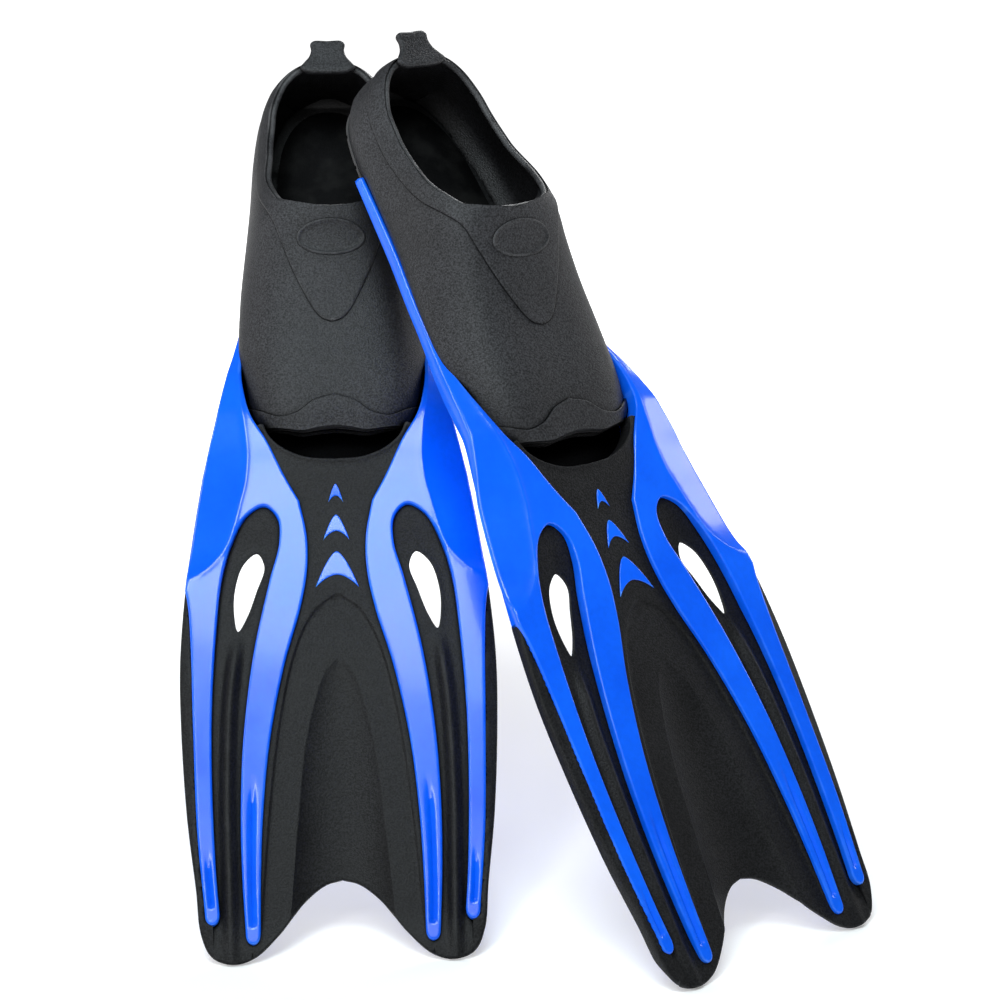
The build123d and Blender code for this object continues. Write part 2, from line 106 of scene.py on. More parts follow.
# The rails beside the foot, as x and y, then heights and slopes for a given y.
SHOULDER = (84.5, 314)  # where the blade's outline turns into the rail
RAIL_OUTER = [(79.8, 335), (75.5, 354), (72.5, 370), (69, 388), (65, 405), (60, 430), (57, 460), (54, 490),
              (52, 520), (50, 552)]
RAIL_INNER = [(31.5, 310), (43, 335), (53.5, 354), (57.5, 370), (59.5, 388), (58.8, 405), (56.2, 430),
              (53.2, 460), (50.2, 490), (48.2, 520), (46.2, 552)]
RIB_LEVEL = [(0, 2.0), (300, 2.0), (318, 2.2), (335, 2.8), (354, 2.0), (370, -2), (388, -9), (405, -17),
             (430, -26), (460, -32), (490, -36), (520, -40.5), (552, -46)]
RIB_UNDER = [(0, -7.0), (275, -7.0), (312, -8.0), (335, -9.5), (354, -11.5), (370, -17), (388, -24),
             (405, -30), (430, -36), (460, -40.6), (490, -44.6), (520, -48.7), (552, -53)]
FACET_SLOPE = [(236, 0), (254, 0.30), (318, 0.30), (335, 0.27), (354, 0.26), (370, 0.33), (388, 0.42),
               (405, 0.45), (430, 0.35), (552, 0.3)]
TIP_LEVEL = -0.4  # height of the black pieces' upper side at the tips
TIP_UNDER = -3.5  # and of their underside
CHANNEL_BED = [(-5, -2.0), (30, -2.3), (150, -2.6), (190, -3.2), (215, -4.4), (245, -5.0), (262, -4.4),
               (280, -2.4), (296, -1.0)]
TRAY_SECTIONS = [  # y, keel half, underside, edge underside
    (552, 46, -53.5, -53), (520, 48, -49.2, -48.7), (490, 50, -45.1, -44.6), (460, 52, -41.1, -40.6),
    (430, 54, -37, -36), (405, 54, -33.6, -30), (388, 52, -31.3, -24), (370, 49, -27.5, -17),
    (354, 46, -23, -11), (335, 42, -15.5, -8), (310, 36, -8.5, -7.5)]
POCKET_SECTIONS = [  # y, half, widest z, shoulder x, shoulder z, crown z
    (341, 47, -10, 36, -1.5, 1.5), (356, 54.5, -12, 40, 1.5, 5), (372, 58.5, -15, 43, 3, 7),
    (390, 60.8, -17, 44, 3.5, 8.5), (413, 61.5, -19, 44, 4.5, 10), (440, 60.5, -22, 43, 7, 14.5),
    (469, 58, -24, 41, 13, 21.5), (487, 56, -26, 40, 17.5, 28), (515, 53.5, -30, 41, 10, 34),
    (545, 52, -34, 40.5, -4, 24), (575, 48.5, -38, 38.5, -9.5, 12), (594, 42, -38, 33.5, -9.7, 5),
    (606, 33, -38, 26, -9.5, 0), (612.5, 22.5, -37, 17, -10, -3), (615.5, 10, -36, 7, -14, -9)]
TOE_END = 341.0  # y of the pocket's end at the toe
TOE_BAND_END = 341.2  # y where the toe band stops
THROAT = 487.0  # y of the opening's front
HEEL_TURN = 606.0  # y where the heel starts to round off
HEEL_END = 615.5  # y of the last section
# Height of the opening's rim for a given y.
RIM_LINE = [(487, 28.5), (495, 22.5), (505, 16.5), (515, 10), (530, 2), (545, -4), (560, -7.5), (578, -9.5),
            (600, -9), (625, -6.5)]
# x and y of the tongue and of the toe band's end, then how far the lip moves for a given x.
TONGUE = [(0, 414.2), (6, 416), (11, 421), (18, 433.5), (25.5, 450), (33, 470.5), (38, 484.5)]
WAVE = [(0, 365), (12, 361.5), (24, 353.5), (34, 351), (46, 357), (66, 368)]
LIP_WAVE = [(0, 2.4), (9, 1.5), (20, 0.0), (32, 2.2), (42, 3.8), (70, 4.4)]
COLLAR_DROP = 11.0  # how far the collar reaches below the rim
COLLAR_LIFT = 1.4  # how far it stands out of the pocket
COLLAR_SINK = 0.8  # how far its back is buried in the pocket
COLLAR_CUT = 497.0  # y where the collar turns into the tongue
TONGUE_TIP = 414.2
BAND_LIFT = 1.6
BAND_SINK = 1.2
WALL = 3.3  # thickness of the pocket
PLATE = 2.9  # thickness of the sole plate under the pocket
RIM_RADIUS = 2.0
BADGE = (468.5, 22.5, 11.5)  # y of the middle, half width, half height
SMOOTH_ANGLE = 40.0  # edges sharper than this, in degrees, stay sharp
TAB = [(0, 630), (9.4, 630), (11.7, 627.6), (11.2, 623), (12.6, 618), (16, 613.5), (18.5, 609.5), (14, 606),
       (0, 605)]


# ---- curves
def spline(points, step=1.6, closed=False):
    """A smooth line through the points, divided about every step."""
    p = np.array(points, float)
    if closed:
        p = np.vstack([p[-1], p, p[0], p[1]])
    else:
        p = np.vstack([2 * p[0] - p[1], p, 2 * p[-1] - p[-2]])
    out = []
    for a, b, c, d in zip(p, p[1:], p[2:], p[3:]):
        t1 = np.linalg.norm(b - a) ** 0.5
        t2 = t1 + np.linalg.norm(c - b) ** 0.5
        t3 = t2 + np.linalg.norm(d - c) ** 0.5
        n = max(1, int(round(np.linalg.norm(c - b) / step)))
        t = np.linspace(t1, t2, n, endpoint=False)[:, None]
        a1 = (t1 - t) / t1 * a + t / t1 * b
        a2 = (t2 - t) / (t2 - t1) * b + (t - t1) / (t2 - t1) * c
        a3 = (t3 - t) / (t3 - t2) * c + (t - t2) / (t3 - t2) * d
        b1 = (t2 - t) / t2 * a1 + t / t2 * a2
        b2 = (t3 - t) / (t3 - t1) * a2 + (t - t1) / (t3 - t1) * a3
        out.append((t2 - t) / (t2 - t1) * b1 + (t - t1) / (t2 - t1) * b2)
    if not closed:
        out.append(p[-2][None])
    return np.vstack(out)


def straight(points, step=1.6):
    """A polyline divided about every step."""
    p = np.array(points, float)
    out = []
    for a, b in zip(p, p[1:]):
        n = max(1, int(round(np.linalg.norm(b - a) / step)))
        out.append(a + (b - a) * np.linspace(0, 1, n, endpoint=False)[:, None])
    out.append(p[-1][None])
    return np.vstack(out)


def run_along(line):
    """Distance along a line at each of its points."""
    return np.concatenate([[0], np.cumsum(np.linalg.norm(np.diff(line, axis=0), axis=1))])


def read_off(at, run, points):
    """The points' coordinates at given distances along their line."""
    return np.column_stack([np.interp(at, run, column) for column in points.T])


def track(table):
    """A smooth function through (position, value) pairs that never overshoots them."""
    table = sorted(table)
    x = np.array([r[0] for r in table], float)
    y = np.array([r[1] for r in table], float)
    h = np.diff(x)
    s = np.diff(y) / h
    m = np.zeros(len(x))
    for i in range(1, len(x) - 1):
        if s[i - 1] * s[i] > 0:
            w1 = 2 * h[i] + h[i - 1]
            w2 = h[i] + 2 * h[i - 1]
            m[i] = (w1 + w2) / (w1 / s[i - 1] + w2 / s[i])
    m[0], m[-1] = s[0], s[-1]

    def value(q):
        q = np.clip(np.asarray(q, float), x[0], x[-1])
        i = np.clip(np.searchsorted(x, q) - 1, 0, len(h) - 1)
        t = (q - x[i]) / h[i]
        return ((2 * t**3 - 3 * t**2 + 1) * y[i] + (t**3 - 2 * t**2 + t) * h[i] * m[i]
                + (3 * t**2 - 2 * t**3) * y[i + 1] + (t**3 - t**2) * h[i] * m[i + 1])
    return value


def ease(t):
    """Runs smoothly from 0 to 1 as t does."""
    t = np.clip(t, 0, 1)
    return t * t * (3 - 2 * t)


# ---- plates
BATCH = 400  # points compared with every segment at a time
FAR = 9.0  # a distance from the edge beyond every rounding
RINGS = (0.12, 0.4, 0.9, 1.5, 2.4)


def inside(points, loop):
    """Which of the points lie inside a closed outline."""
    x, y = points[:, 0:1], points[:, 1:2]
    x1, y1 = loop[:, 0], loop[:, 1]
    x2, y2 = np.roll(x1, -1), np.roll(y1, -1)
    crosses = ((y1 > y) != (y2 > y)) & (x < (x2 - x1) * (y - y1) / (y2 - y1 + 1e-12) + x1)
    return crosses.sum(1) % 2 == 1


def nearest(points, a, b):
    """Distance from each point to the nearest of the segments from a to b."""
    ab = b - a
    length = (ab**2).sum(1) + 1e-12
    out = np.empty(len(points))
    for i in range(0, len(points), BATCH):
        p = points[i:i + BATCH, None, :]
        t = np.clip(((p - a) * ab).sum(2) / length, 0, 1)
        q = a + t[..., None] * ab
        out[i:i + BATCH] = np.sqrt(((p - q)**2).sum(2).min(1))
    return out


def distance(points, loops):
    """Distance from each point to the nearest of several closed outlines."""
    return nearest(points, np.vstack(loops), np.vstack([np.roll(p, -1, 0) for p in loops]))


def distance_to_lines(points, lines):
    """Distance from each point to the nearest of several open lines."""
    return nearest(points, np.vstack([line[:-1] for line in lines]), np.vstack([line[1:] for line in lines]))


def oriented(loop, anticlockwise=True):
    """The outline, reversed where needed to run the asked way round."""
    area = np.sum(loop[:, 0] * np.roll(loop[:, 1], -1) - np.roll(loop[:, 0], -1) * loop[:, 1])
    return loop if (area > 0) == anticlockwise else loop[::-1]


def plate(outer, top, bottom, holes=(), grid=3.0, rings=RINGS, features=(), shown=None):
    """A closed plate over an outline. top and bottom give z from x, y and the distance to the nearest edge.

    grid is the spacing of the points that fill it, rings the distances from the edge where extra rows of
    points run, and features are lines of points kept along grooves and creases. shown are the lines that
    count as edges, where some of the outline only meets a neighbour.
    """
    loops = [oriented(outer)] + [oriented(hole, False) for hole in holes]
    layers = [np.vstack(loops)]
    for d in rings:
        for loop in loops:
            along = np.roll(loop, -1, 0) - np.roll(loop, 1, 0)
            along /= np.linalg.norm(along, axis=1)[:, None] + 1e-12
            moved = loop + np.column_stack([-along[:, 1], along[:, 0]]) * d
            layers.append(moved[distance(moved, loops) > d * 0.96])
    for line in features:
        keep = inside(line, loops[0]) & (distance(line, loops) > 0.5)
        layers.append(line[keep])
    low, high = loops[0].min(0), loops[0].max(0)
    gx, gy = np.meshgrid(np.arange(low[0], high[0], grid), np.arange(low[1], high[1], grid * 0.87))
    gx[1::2] += grid / 2
    fill = np.column_stack([gx.ravel(), gy.ravel()])
    fill = fill[inside(fill, loops[0])]
    fill = fill[distance(fill, loops) > rings[-1] + grid * 0.35]
    if len(features) and len(fill):
        near = np.vstack(features)
        gap = np.sqrt(((fill[:, None] - near[None])**2).sum(2).min(1))
        fill = fill[gap > 0.9]
    layers.append(fill)
    points = np.vstack(layers)
    edges = []
    start = 0
    for loop in loops:
        n = len(loop)
        edges += [(start + i, start + (i + 1) % n) for i in range(n)]
        start += n
    flat, _, tris, *_ = delaunay_2d_cdt([Vector(p) for p in points], edges, [], 0, 1e-5)
    flat = np.array([tuple(v) for v in flat])
    tris = np.array([t for t in tris if len(t) == 3])
    centre = flat[tris].mean(1)
    keep = inside(centre, loops[0])
    for hole in loops[1:]:
        keep &= ~inside(centre, hole)
    tris = tris[keep]
    a, b, c = flat[tris[:, 0]], flat[tris[:, 1]], flat[tris[:, 2]]
    flip = ((b - a)[:, 0] * (c - a)[:, 1] - (b - a)[:, 1] * (c - a)[:, 0]) < 0
    tris[flip] = tris[flip][:, ::-1]
    used = np.unique(tris)
    index = -np.ones(len(flat), int)
    index[used] = np.arange(len(used))
    flat, tris = flat[used], index[tris]
    d = distance(flat, loops) if shown is None else distance_to_lines(flat, shown)
    zt = top(flat[:, 0], flat[:, 1], d)
    zb = bottom(flat[:, 0], flat[:, 1], d)
    n = len(flat)
    verts = np.vstack([np.column_stack([flat, zt]), np.column_stack([flat, zb])])
    faces = [tuple(t) for t in tris] + [tuple(t[::-1] + n) for t in tris]
    sides = {}
    for t in tris:
        for u, v in ((t[0], t[1]), (t[1], t[2]), (t[2], t[0])):
            sides[(u, v)] = True
    for u, v in sides:
        if (v, u) not in sides:
            faces.append((v, u, u + n, v + n))
    return verts, faces


def rounding(d, radius):
    """How far a surface drops near an edge that is rounded by radius."""
    e = np.clip(radius - d, 0, radius)
    return radius - np.sqrt(np.clip(radius**2 - e**2, 0, None))


def mirrored(part):
    """The part's mirror image across the middle plane."""
    verts, faces = part
    return verts * np.array([-1, 1, 1]), [f[::-1] for f in faces]


def together(*parts):
    """Several parts as one."""
    verts = []
    faces = []
    base = 0
    for v, f in parts:
        verts.append(v)
        faces += [tuple(i + base for i in face) for face in f]
        base += len(v)
    return np.vstack(verts), faces


def welded(part, tolerance=0.02):
    """The part with vertices that meet made one, and faces that meet on the middle plane dropped."""
    verts, faces = part
    keys = {}
    first = []
    index = []
    for v in np.round(verts / tolerance).astype(int):
        key = tuple(v)
        if key not in keys:
            keys[key] = len(first)
            first.append(len(index))
        index.append(keys[key])
    out = {}
    for f in faces:
        g = [index[i] for i in f]
        g = [v for i, v in enumerate(g) if v != g[i - 1]]
        if len(set(g)) > 2:
            out.setdefault(frozenset(g), []).append(tuple(g))
    return verts[first], [f[0] for f in out.values() if len(f) == 1]


# ---- blade
def split_loop(half):
    """The whole outline from its right half, which starts and ends on the middle line."""
    return np.vstack([half, (half * [-1, 1])[-2:0:-1]])


outline = spline(OUTLINE)
crease = track(SHOULDER_CREASE)
inner_groove = track(INNER_GROOVE)
outer_groove = track(OUTER_GROOVE)
flank = outline[:np.argmin(np.abs(outline[:, 1] - 6))][::-1]


def outline_x(y):
    """Half width of the blade's outline at y."""
    return np.interp(y, flank[:, 1], flank[:, 0])


def tip_point(x):
    """The point of the outline's tip at x."""
    tip = outline[(outline[:, 1] < 30) & (outline[:, 0] > 30)][::-1]
    return [(x, float(np.interp(x, tip[:, 0], tip[:, 1])))]


rib_level = track(RIB_LEVEL)
rib_under = track(RIB_UNDER)
facet_slope = track(FACET_SLOPE)


def rib_top(x, y, d):
    """Upper side of the blue piece: flat along the inside, falling away outside the shoulder's crease.

    The crease stands up as a low ridge, and a groove runs along each finger towards its tip.
    """
    beyond = x - crease(y)
    fall = np.where(beyond > -0.8, np.where(beyond > 0.8, beyond, (beyond + 0.8)**2 / 3.2), 0)
    z = rib_level(y) - facet_slope(y) * fall
    z += 0.45 * np.clip(1 - np.abs(beyond) / 3.0, 0, 1)**2 * ease((y - 240) / 10) * ease((420 - y) / 40)
    shown = ease((118 - y) / 34) * ease((y - 20.5) / 3.0)
    z -= 1.7 * shown * np.clip(1 - np.abs(x - inner_groove(y)) / INNER_GROOVE_HALF, 0, 1)
    shown = ease((72 - y) / 24) * ease((y - 32.5) / 3.0)
    z -= 1.5 * shown * np.clip(1 - np.abs(x - outer_groove(y)) / OUTER_GROOVE_HALF, 0, 1)
    return z - rounding(d, 1.3)


def rib_bottom(x, y, d):
    """Underside of the blue piece, kept below its upper side."""
    return np.minimum(rib_under(y) + rounding(d, 1.0), rib_top(x, y, d) - 0.9)


def beside(line, offsets, ys):
    """Rows of points at several offsets from a line given as x for y."""
    return [np.column_stack([line(ys) + offset, ys]) for offset in offsets]


rib_outer = spline(RIB_OUTER)
rib_outer[:, 0] = np.minimum(rib_outer[:, 0], outline_x(rib_outer[:, 1]))
shoulder_edge = outline[outline[:, 1] > 268.5]
rail_outer = spline([SHOULDER] + RAIL_OUTER)
rail_inner = spline(RIB_INNER[-1:] + RAIL_INNER)
rib_loop = np.vstack([
    rail_outer[::-1][:-1],
    shoulder_edge[1:],
    rib_outer[:-1],
    spline(FINGER_END_OUTER, 0.7)[:-1],
    spline(RIB_TEARDROP)[:-1],
    spline(FINGER_END_INNER, 0.7)[:-1],
    spline(RIB_INNER)[:-1],
    rail_inner,
    straight([rail_inner[-1], rail_outer[-1]], 1.0)[1:-1]])
rib_features = beside(inner_groove, (-2.7, -1.35, 0, 1.35, 2.7), np.arange(14, 119, 1.1))
rib_features += beside(outer_groove, (-2.3, -1.15, 0, 1.15, 2.3), np.arange(27, 76, 1.1))
rib_features += beside(crease, (-3, -0.8, 0, 0.8, 3), np.arange(246, 405, 1.3))
rib = plate(rib_loop, rib_top, rib_bottom, grid=2.6, features=rib_features)


def corner(points, radii, steps=4):
    """A polyline with its corners rounded."""
    p = [np.array(q, float) for q in points]
    out = [p[0]]
    for i in range(1, len(p) - 1):
        a, b, c = p[i - 1], p[i], p[i + 1]
        r = min(radii[i], 0.45 * np.linalg.norm(a - b), 0.45 * np.linalg.norm(c - b))
        u = b + (a - b) / (np.linalg.norm(a - b) + 1e-9) * r
        v = b + (c - b) / (np.linalg.norm(c - b) + 1e-9) * r
        for t in np.linspace(0, 1, steps):
            out.append((1 - t)**2 * u + 2 * t * (1 - t) * b + t * t * v)
    out.append(p[-1])
    return np.array(out)


def tray():
    """The blue plate under the foot, which rises to the ribs and rails on either side."""
    columns = [track([(s[0], s[k]) for s in TRAY_SECTIONS]) for k in range(1, 4)]
    half_at = track([(y, x) for x, y in [SHOULDER] + RAIL_OUTER])
    ys = np.concatenate([np.arange(309, 400, 3.0), np.arange(400, 551, 5.0), [550.5, 551.3, 551.7]])
    rows = []
    for y in ys:
        keel, under, edge_under = [float(c(y)) for c in columns]
        half = float(half_at(y)) - 0.45
        end = max(0, y - 550) * 0.6
        facet = float(rib_top(np.array([half]), np.array([y]), np.array([FAR]))[0])
        edge_over = max(edge_under + 0.6, min(edge_under + 2.8, facet - 0.9))
        points = [(0, under), (keel, under), (half - end, edge_under + 0.3 + end), (half - end, edge_over),
                  (keel - 2, under + 3.2), (0, under + 3)]
        outline_at = corner(points, (0, 3, 1.5, 0.8, 1, 0))
        rows.append(np.column_stack([outline_at[:, 0], np.full(len(outline_at), y), outline_at[:, 1]]))
    n = len(rows[0])
    faces = []
    for i in range(len(rows) - 1):
        for j in range(n - 1):
            faces.append((i * n + j, i * n + j + 1, (i + 1) * n + j + 1, (i + 1) * n + j))
    # The end caps pair the underside's points with those above them.
    for start in (0, (len(rows) - 1) * n):
        for j in range(n // 2 - 1):
            faces.append((start + j, start + j + 1, start + n - 2 - j, start + n - 1 - j))
        faces.append((start + n // 2 - 1, start + n // 2, start + n - n // 2))
    half_part = (np.vstack(rows), faces)
    return welded(together(half_part, mirrored(half_part)))


blue_frame = together(rib, mirrored(rib), tray())


def towards_tip(z, y):
    """Brings a black surface level with its neighbours near the blade's tip."""
    w = ease((y - 6) / 24)
    return z * w + TIP_LEVEL * (1 - w)


scoop = track(SCOOP_HALF)
shelf = track(SHELF_HALF)


def centre_top(x, y, d):
    """Upper side of the centre web: a step down to the shelf, the scoop, and a lip round the toe vent."""
    across = np.abs(x)
    z = np.full_like(x, -0.9)
    z += 2.1 * ease((y - 288) / 34)
    beyond = shelf(y) - across
    z -= 0.9 * ease((beyond + 0.5) / 1.4) * ease((233 - y) / 3)
    width = scoop(y)
    depth = 7.5 * np.clip((191 - y) / 150, 0, 1)**0.75
    z -= depth * np.clip(1 - (across / width)**2, 0, 1)**0.8
    lip = ease((y - 300) / 20) * ease((3.2 - d) / 1.6)
    return towards_tip(z, y) + 0.7 * lip - rounding(d, 0.9)


def centre_bottom(x, y, d):
    """Underside of the centre web, with a deep wall below the toe vent."""
    deep = centre_top(x, y, np.full_like(d, FAR))
    return np.minimum(deep - 3.0, -3.6) - 7.0 * ease((y - 314) / 14) + rounding(d, 0.7)


smile = spline(VENT_SMILE)
neck_edge = straight(NECK_EDGE, 1.8)
split = spline(INNER_SPLIT)[::-1]
split = split[split[:, 1] > 5.5]
tip_in = outline[(outline[:, 0] < 53.5) & (outline[:, 1] < 60)]
centre_half = np.vstack([smile[:-1], neck_edge[:-1], split, tip_point(INNER_SEAM), tip_in])
shelf_line = spline([(x, y) for y, x in SHELF_HALF], 1.5)
centre_features = []
for right_line in (beside(scoop, (-1.6, -0.7, 0, 0.7, 1.6), np.arange(12, 189, 1.5))
                   + [shelf_line + [offset, 0] for offset in (-1.2, -0.5, 0.2, 1.0)]):
    centre_features += [right_line, right_line * [-1, 1]]
whole_outline = np.vstack([outline, (outline * [-1, 1])[-2::-1]])
whole_smile = np.vstack([(smile * [-1, 1])[:0:-1], smile])
centre = plate(split_loop(centre_half), centre_top, centre_bottom, grid=3.0, features=centre_features,
               shown=[whole_outline, whole_smile])

bead_x = track([(y, x) for x, y in BEAD_LINE])
bed = track(CHANNEL_BED)


def channel_top(x, y, d):
    """Upper side of a channel: a hollow bed, a bead that fades towards the vent, and the vent's lip."""
    strength = ease((212 - y) / 34) * (0.35 + 0.65 * ease(y / 40))
    bead = np.cos(np.clip((x - bead_x(y)) / 6.2, -1, 1) * pi / 2)**2
    vent_lip = np.exp(-d / 1.6) * ease((y - 206) / 8)
    return towards_tip(bed(y), y) + 3.3 * strength * bead + 0.7 * vent_lip - rounding(d, 0.9)


def channel_bottom(x, y, d):
    """Underside of a channel, kept above the underside of the ribs."""
    z = np.clip(bed(y) - 3.0, -6.3, -3.6)
    return z + (TIP_UNDER - z) * ease((24 - y) / 18) + rounding(d, 0.6)


outer_split = spline(OUTER_SPLIT)
outer_split = outer_split[outer_split[:, 1] > 6]
inner_edge = spline(INNER_SPLIT)
inner_edge = inner_edge[(inner_edge[:, 1] > 6) & (inner_edge[:, 1] < 279)]
tip_mid = outline[(outline[:, 0] < 77.5) & (outline[:, 0] > 54.5) & (outline[:, 1] < 10)]
channel_loop = np.vstack([inner_edge, straight(CHANNEL_END, 2)[:-1], outer_split[::-1],
                          tip_point(OUTER_SEAM), tip_mid, tip_point(INNER_SEAM)])
bead_features = beside(bead_x, (-6.2, -4.6, -3, -1.5, 0, 1.5, 3, 4.6, 6.2), np.arange(4, 212, 2.0))
vent = spline(VENT, 1.3, closed=True)
channel = plate(channel_loop, channel_top, channel_bottom, holes=[vent], grid=2.8, features=bead_features,
                shown=[whole_outline, np.vstack([vent, vent[:1]])])


def edge_top(x, y, d):
    """Upper side of the soft edge, which dips where it runs under the rib."""
    z = 1.2 - 0.25 * np.clip(x - 88, 0, 20)
    rib_x = np.interp(y, rib_outer[::-1, 1], rib_outer[::-1, 0])
    under_rib = ease((rib_x - x - 0.6) / 1.2) * ease((y - 25) / 3)
    return towards_tip(z, y) - 2.6 * under_rib - rounding(d, 1.3)


def edge_bottom(x, y, d):
    """Underside of the soft edge."""
    z = -8.0 + 0.2 * np.clip(92 - x, 0, 12)
    return z + (TIP_UNDER - z) * ease((26 - y) / 20) + rounding(d, 1.6)


side = outline[(outline[:, 1] < 238) & (outline[:, 0] > 79)]
edge_loop = np.vstack([side, tip_point(OUTER_SEAM), outer_split[outer_split[:, 1] < 228]])
edge_part = plate(edge_loop, edge_top, edge_bottom, grid=2.4, shown=[whole_outline])


def chevron(apex, half, drop, thick):
    """A crescent inlaid in the neck, which follows its surface."""
    x = np.linspace(-half, half, 41)
    t = np.abs(x / half)
    upper = apex - drop * t**1.55
    lower = apex - thick - (drop - thick) * t**1.8
    loop = np.vstack([np.column_stack([x, upper]), np.column_stack([x, lower])[-2:0:-1]])
    base = centre_top(np.array([0.0]), np.array([apex - drop / 2]), np.array([FAR]))[0]
    return plate(loop,
                 lambda x, y, d: centre_top(x, y, np.full_like(d, FAR)) + 0.7 - rounding(d, 0.5),
                 lambda x, y, d: np.full_like(d, base - 1.0),
                 grid=1.4, rings=(0.1, 0.3, 0.6))


chevrons = together(*[chevron(*c) for c in CHEVRONS])


# ---- foot pocket
pocket_columns = [track([(s[0], s[k]) for s in POCKET_SECTIONS]) for k in range(1, 6)]
rim_z = track(RIM_LINE)
SECTION_STEPS = 160
TABLE_Y = np.concatenate([np.arange(TOE_END, HEEL_TURN, 1.0), np.arange(HEEL_TURN, HEEL_END, 0.5),
                          [HEEL_END]])


def floor_z(y):
    """Height of the pocket's underside, which rises at the toe and curls up at the heel."""
    z = -37 - 0.135 * (y - 430) + PLATE * (1 - float(ease((y - 546) / 8)))
    if y < 388:
        z += 0.30 * (388 - y)
    if y > HEEL_TURN:
        z += (y - HEEL_TURN)**2 / 14
    return z


def section(y):
    """The outer half section of the pocket at y, from the middle of the floor round to the crown."""
    half, wide_z, shoulder, shoulder_z, crown = [float(c(y)) for c in pocket_columns]
    base = half - 9 if y < HEEL_TURN else half * (0.79 - 0.24 * (y - HEEL_TURN) / 9.5)
    low = floor_z(y)
    upper = spline([(base, low), (half, wide_z), (shoulder, shoulder_z), (0, crown),
                    (-shoulder, shoulder_z)], 0.8)
    upper = upper[upper[:, 0] >= -0.4]
    upper[-1, 0] = 0
    line = np.vstack([straight([(0, low), (base, low)], 2)[:-1], upper])
    run = run_along(line)
    return read_off(np.linspace(0, run[-1], SECTION_STEPS + 1), run, line)


SECTION_TABLE = np.array([section(y) for y in TABLE_Y])


def skin(y, u):
    """Points on the pocket's outside from y and the share u of the way round from floor to crown."""
    y, u = np.broadcast_arrays(np.asarray(y, float), np.asarray(u, float))
    i = np.clip(np.searchsorted(TABLE_Y, y) - 1, 0, len(TABLE_Y) - 2)
    f = np.clip((y - TABLE_Y[i]) / (TABLE_Y[i + 1] - TABLE_Y[i]), 0, 1)
    s = np.clip(u, 0, 1) * SECTION_STEPS
    j = np.clip(s.astype(int), 0, SECTION_STEPS - 1)
    g = s - j

    def row(k):
        return SECTION_TABLE[k, j] * (1 - g)[..., None] + SECTION_TABLE[k, j + 1] * g[..., None]

    xz = row(i) * (1 - f)[..., None] + row(i + 1) * f[..., None]
    return np.stack([xz[..., 0], y, xz[..., 1]], -1)


def skin_normal(y, u):
    """The outward normal of the pocket's outside at y and u."""
    a = skin(y, np.clip(u + 0.012, 0, 1)) - skin(y, np.clip(u - 0.012, 0, 1))
    b = skin(np.clip(y + 1.2, TOE_END, HEEL_END), u) - skin(np.clip(y - 1.2, TOE_END, HEEL_END), u)
    n = np.cross(b, a)
    n = n / (np.linalg.norm(n, axis=-1)[..., None] + 1e-9)
    n[..., 0] = np.where(np.asarray(u) > 0.995, 0, n[..., 0])
    return n / (np.linalg.norm(n, axis=-1)[..., None] + 1e-9)


def lifted(y, u, lift):
    """Points standing off the pocket's outside by lift."""
    return skin(y, u) + skin_normal(y, u) * np.broadcast_to(lift, np.shape(u))[:, None]


def height_share(y, z):
    """The share u where the upper half of the section at y stands at height z."""
    u = np.linspace(0.42, 1, 600)
    zs = skin(np.full_like(u, y), u)[:, 2]
    above = np.nonzero(zs >= z)[0]
    if len(above) == 0:
        return 1.0
    k = above[0]
    if k == 0:
        return u[0]
    return u[k - 1] + (u[k] - u[k - 1]) * (z - zs[k - 1]) / (zs[k] - zs[k - 1] + 1e-9)


def width_share(y, x):
    """The share u where the top of the section at y is x from the middle."""
    u = np.linspace(0.6, 1, 500)
    xs = skin(np.full_like(u, y), u)[:, 0]
    return float(np.interp(-x, -xs, u))


def rim_share(y):
    """The share u of the way round at which the opening's rim stands, or 1 where the pocket is closed."""
    if y <= THROAT:
        return 1.0
    return height_share(y, float(rim_z(y)))


def top_z(x, y):
    """Height of the pocket's upper side."""
    x, y = np.abs(np.asarray(x, float)), np.asarray(y, float)
    u = np.linspace(0.55, 1, 140)
    out = np.empty(len(x))
    for k, (px, py) in enumerate(zip(x, y)):
        p = skin(np.full_like(u, py), u)
        out[k] = np.interp(-px, -p[:, 0], p[:, 2])
    return out


ROWS = np.concatenate([
    [TOE_END, 341.6, 343], np.arange(346, 486, 3.5), THROAT + 10 * np.linspace(0, 1, 13)**2,
    np.arange(500, 604, 3.0), np.arange(605, 615.4, 1.15), [HEEL_END]])
ACROSS = 64
lip_wave = track(LIP_WAVE)


def with_lip(points):
    """Bends the toe end's edge into its shallow wave."""
    out = points.copy()
    share = np.clip(1 - (out[..., 1] - TOE_END) / 13, 0, 1) * ease((out[..., 2] + 16) / 6)
    out[..., 1] += lip_wave(np.abs(out[..., 0])) * share
    return out


